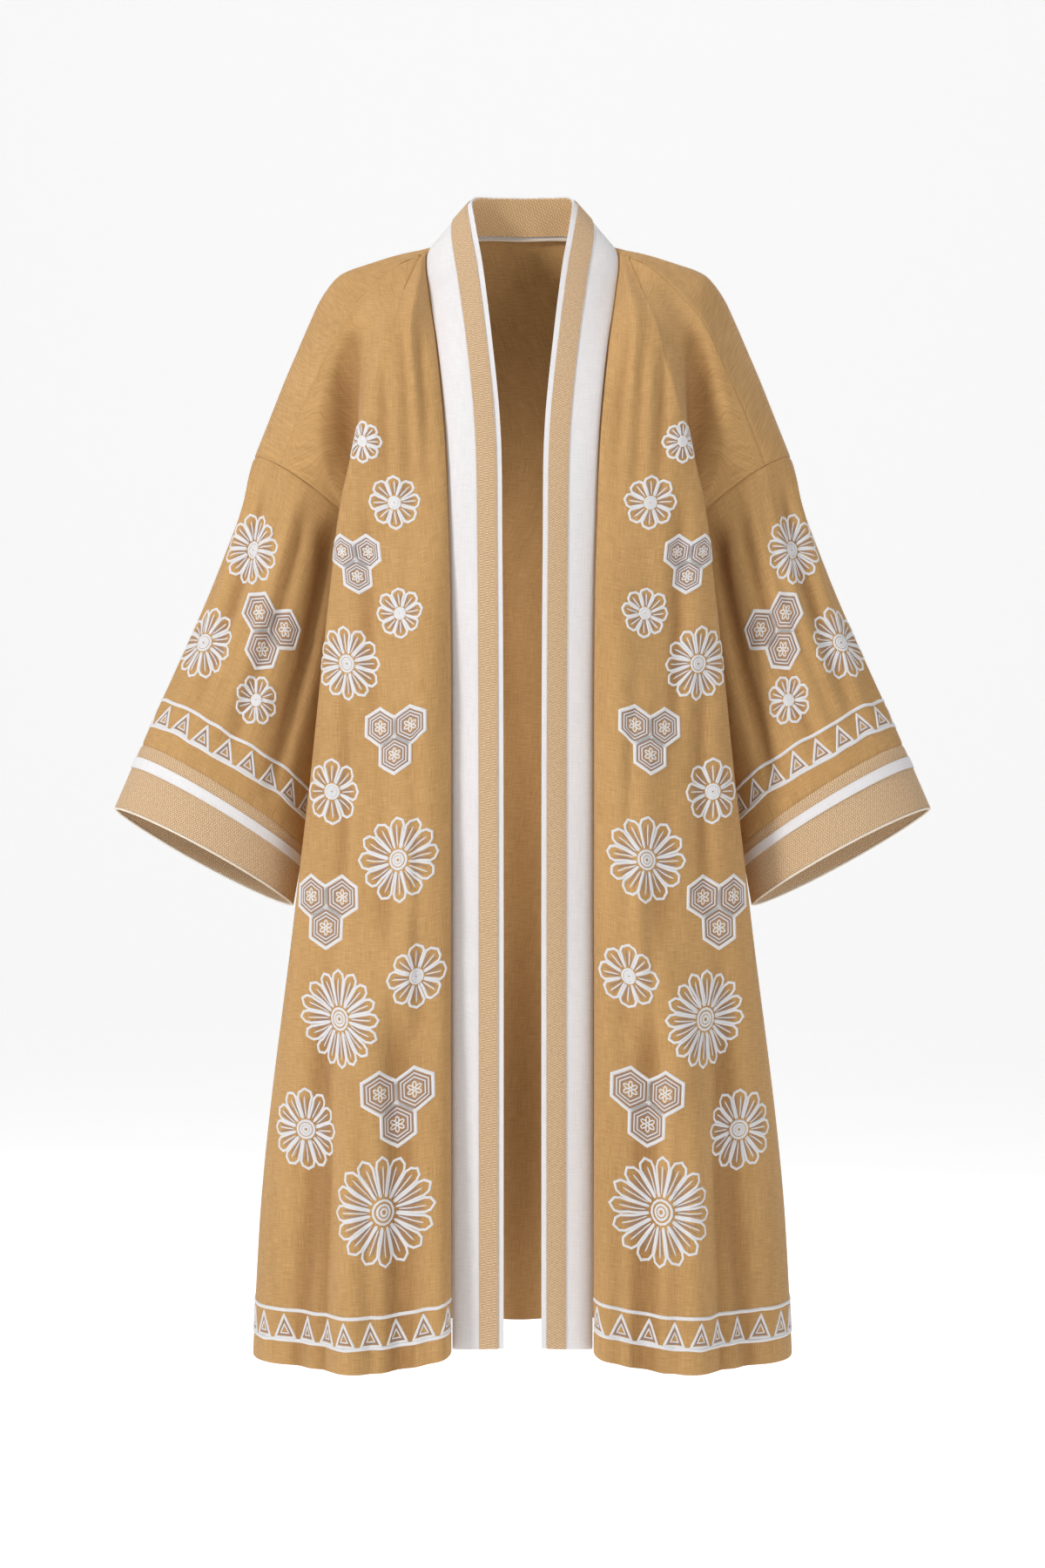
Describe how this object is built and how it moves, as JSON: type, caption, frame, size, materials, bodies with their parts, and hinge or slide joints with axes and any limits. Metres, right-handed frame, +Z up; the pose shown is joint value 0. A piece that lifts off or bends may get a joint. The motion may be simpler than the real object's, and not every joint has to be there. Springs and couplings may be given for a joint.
{
  "type": "kimono robe",
  "caption": "Open-front, knee-length kimono robe with wide sleeves and a striped collar band, in the hollow form of a worn garment.",
  "frame": {"origin": "the nape: the middle of the back neck seam, at the foot of the collar, where the robe hangs from the wearer", "axes": "+Z up along the centre of the back, -Y towards the front, +X towards the wearer's left"},
  "size_m": [0.8952, 0.3429, 1.2731],
  "materials": {
    "cloth": "matt plain-woven ochre cloth with couched cord embroidery",
    "white_band": "matt off-white ribbed cotton band",
    "white_tape": "matt off-white cotton tape",
    "webbing": "matt tan herringbone webbing",
    "neck_webbing": "matt tan herringbone webbing, deeper in tone",
    "piping": "cream cotton piping"
  },
  "bodies": {
    "root": {"front_left": "cloth", "front_right": "cloth", "back": "cloth", "sleeve_left": "cloth", "sleeve_right": "cloth", "cuff_left": "webbing", "cuff_right": "webbing", "collar_band": "white_band", "collar_webbing": "webbing", "cuff_tape_left": "white_tape", "cuff_tape_right": "white_tape", "cuff_piping_left": "piping", "cuff_piping_right": "piping", "neck_facing": "neck_webbing", "neck_piping": "piping"}
  },
  "joints": []
}
